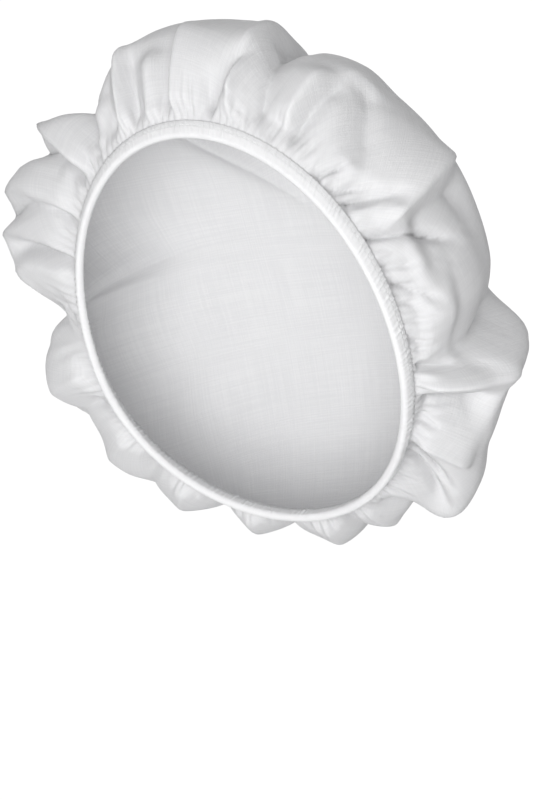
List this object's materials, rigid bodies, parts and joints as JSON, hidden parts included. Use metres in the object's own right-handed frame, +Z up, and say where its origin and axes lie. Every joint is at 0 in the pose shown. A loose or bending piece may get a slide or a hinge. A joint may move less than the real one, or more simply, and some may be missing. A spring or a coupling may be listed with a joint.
{
  "type": "bouffant cap of woven cloth with a gathered elastic hem",
  "caption": "Bouffant head cover: a round of thin white woven cloth gathered into a narrow folded hem with flat elastic inside, puffed out in soft folds as worn.",
  "frame": {"origin": "middle of the hem's opening, where the head sits", "axes": "+Z up and -Y forward as the upright wearer faces, +X to the wearer's left; the opening slopes down from the brow to the nape by 46 degrees"},
  "size_m": [0.2254, 0.2057, 0.1924],
  "materials": {
    "cloth": "matte plain-woven white cotton cloth, slightly see-through, with slubs and soft creases",
    "hem_cloth": "the same white cloth folded double and puckered tight by the elastic",
    "elastic_band": "flat woven white elastic, hidden inside the folded hem"
  },
  "bodies": {
    "root": {"crown": "cloth", "hem_casing": "hem_cloth", "elastic": "elastic_band"}
  },
  "joints": []
}
